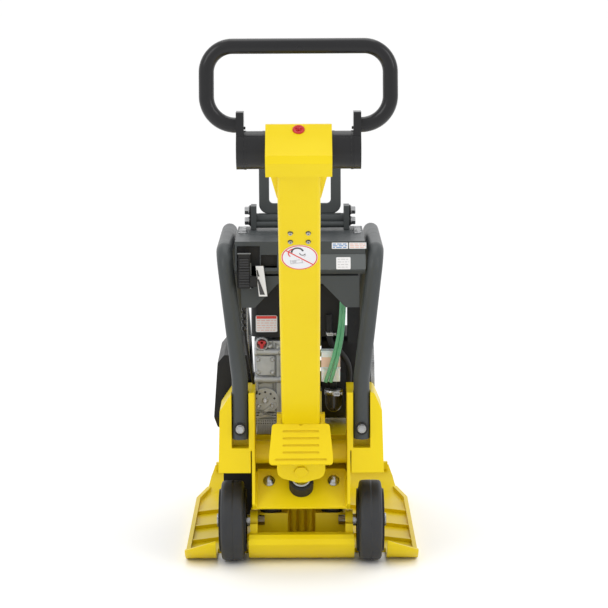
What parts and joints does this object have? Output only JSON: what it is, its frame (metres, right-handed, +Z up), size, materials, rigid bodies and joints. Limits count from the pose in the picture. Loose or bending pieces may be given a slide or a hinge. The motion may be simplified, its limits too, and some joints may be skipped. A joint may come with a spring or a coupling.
{
  "type": "plate compactor",
  "caption": "Reversible vibratory plate compactor: steel base plate with twin-shaft exciter, sprung engine frame, transport wheels, leaning centre pole and steering loop.",
  "frame": {"origin": "centre of the base plate's flat contact face on the ground", "axes": "+X to the right as the operator sees it, +Y forward, away from the operator, +Z up"},
  "size_m": [0.5, 1.2631, 1.1401],
  "materials": {
    "yellow_paint": "gloss",
    "grey_paint": "satin",
    "black_paint": "satin",
    "tyre_rubber": "matte",
    "black_rubber": "matte",
    "black_plastic": "matte",
    "engine_alloy": "cast",
    "zinc_steel": "satin",
    "dark_steel": "oiled",
    "red_plastic": "gloss",
    "clear_plastic": "translucent",
    "green_hose": "translucent",
    "exhaust_steel": "heat stained"
  },
  "bodies": {
    "lower_mass": {"base_plate": "yellow_paint", "exciter_housing": "yellow_paint", "exciter_covers": "yellow_paint", "exciter_bearings": "zinc_steel", "lower_fasteners": "zinc_steel", "wheel_axles": "zinc_steel", "shock_mounts": "black_rubber", "v_belt": "black_rubber"},
    "centre_pole": {"pole": "yellow_paint", "pole_head": "yellow_paint", "head_plug": "red_plastic", "pole_screws": "zinc_steel", "pole_foot": "yellow_paint"},
    "steering_handle": {"control_drum": "black_paint", "handle_loop": "black_paint"},
    "wheel_left": {"tyre_left": "tyre_rubber", "wheel_hub_left": "black_plastic"},
    "wheel_right": {"tyre_right": "tyre_rubber", "wheel_hub_right": "black_plastic"},
    "exciter_rear": {"exciter_shaft_rear": "dark_steel", "exciter_pulley": "dark_steel"},
    "exciter_front": {"exciter_shaft_front": "dark_steel"},
    "clutch": {"clutch_drum": "dark_steel"},
    "throttle": {"throttle_lever": "black_plastic"},
    "upper_mass": {"air_filter": "black_plastic", "air_hoses": "black_rubber", "belt_guard": "black_plastic", "console_left": "yellow_paint", "console_right": "yellow_paint", "control_box": "black_plastic", "crankcase": "engine_alloy", "crankshaft": "dark_steel", "cylinder": "engine_alloy", "engine_deck": "yellow_paint", "fan_shroud": "black_plastic", "flywheel": "engine_alloy", "frame_hoop_left": "grey_paint", "frame_hoop_right": "grey_paint", "front_guard": "grey_paint", "fuel_cap": "black_plastic", "fuel_hoses": "green_hose", "fuel_tank": "black_plastic", "governor_linkage": "zinc_steel", "hood": "grey_paint", "hose_clamps": "zinc_steel", "lift_beam": "grey_paint", "lifting_eye": "grey_paint", "lower_panel": "grey_paint", "muffler": "exhaust_steel", "oil_cap": "red_plastic", "piston_and_rod": "engine_alloy", "pivot_pin": "dark_steel", "pivot_tube": "yellow_paint", "rear_plate": "yellow_paint", "rubber_buffer": "black_rubber", "separator_box": "clear_plastic", "shroud_ring": "zinc_steel", "throttle_housing": "black_plastic", "top_shroud": "black_plastic", "upper_fasteners": "zinc_steel"}
  },
  "joints": [
    {"name": "mass_float", "type": "slide", "parent": "lower_mass", "child": "upper_mass", "axis": [0, 0, 1], "range_m": [-0.004, 0.004], "stiffness_N_per_m": 200000, "springref_m": 0.00641, "deforming": ["shock_mounts", "v_belt"]},
    {"name": "pole_fold", "type": "hinge", "parent": "upper_mass", "child": "centre_pole", "pos_m": [0, -0.29, 0.24], "axis": [-1, 0, 0], "range_deg": [0, 24]},
    {"name": "handle_turn", "type": "hinge", "parent": "centre_pole", "child": "steering_handle", "pos_m": [0, -0.84805, 0.93617], "axis": [1, 0, 0], "range_deg": [-20, 20]},
    {"name": "wheel_left_spin", "type": "hinge", "parent": "lower_mass", "child": "wheel_left", "pos_m": [-0.1475, -0.29, 0.089], "axis": [1, 0, 0], "continuous": true},
    {"name": "wheel_right_spin", "type": "hinge", "parent": "lower_mass", "child": "wheel_right", "pos_m": [0.1475, -0.29, 0.089], "axis": [1, 0, 0], "continuous": true},
    {"name": "exciter_rear_spin", "type": "hinge", "parent": "lower_mass", "child": "exciter_rear", "pos_m": [0, -0.0665, 0.075], "axis": [1, 0, 0], "continuous": true},
    {"name": "exciter_front_spin", "type": "hinge", "parent": "lower_mass", "child": "exciter_front", "pos_m": [0, 0.0265, 0.075], "axis": [1, 0, 0], "continuous": true},
    {"name": "clutch_spin", "type": "hinge", "parent": "upper_mass", "child": "clutch", "pos_m": [-0.135, -0.1, 0.36], "axis": [1, 0, 0], "continuous": true},
    {"name": "throttle_turn", "type": "hinge", "parent": "upper_mass", "child": "throttle", "pos_m": [-0.1, -0.356, 0.622], "axis": [-1, 0, 0], "range_deg": [0, 55]}
  ],
  "couplings": [
    {"joint": "exciter_front_spin", "follows": "exciter_rear_spin", "ratio": -1},
    {"joint": "clutch_spin", "follows": "exciter_rear_spin", "ratio": 0.7885}
  ]
}
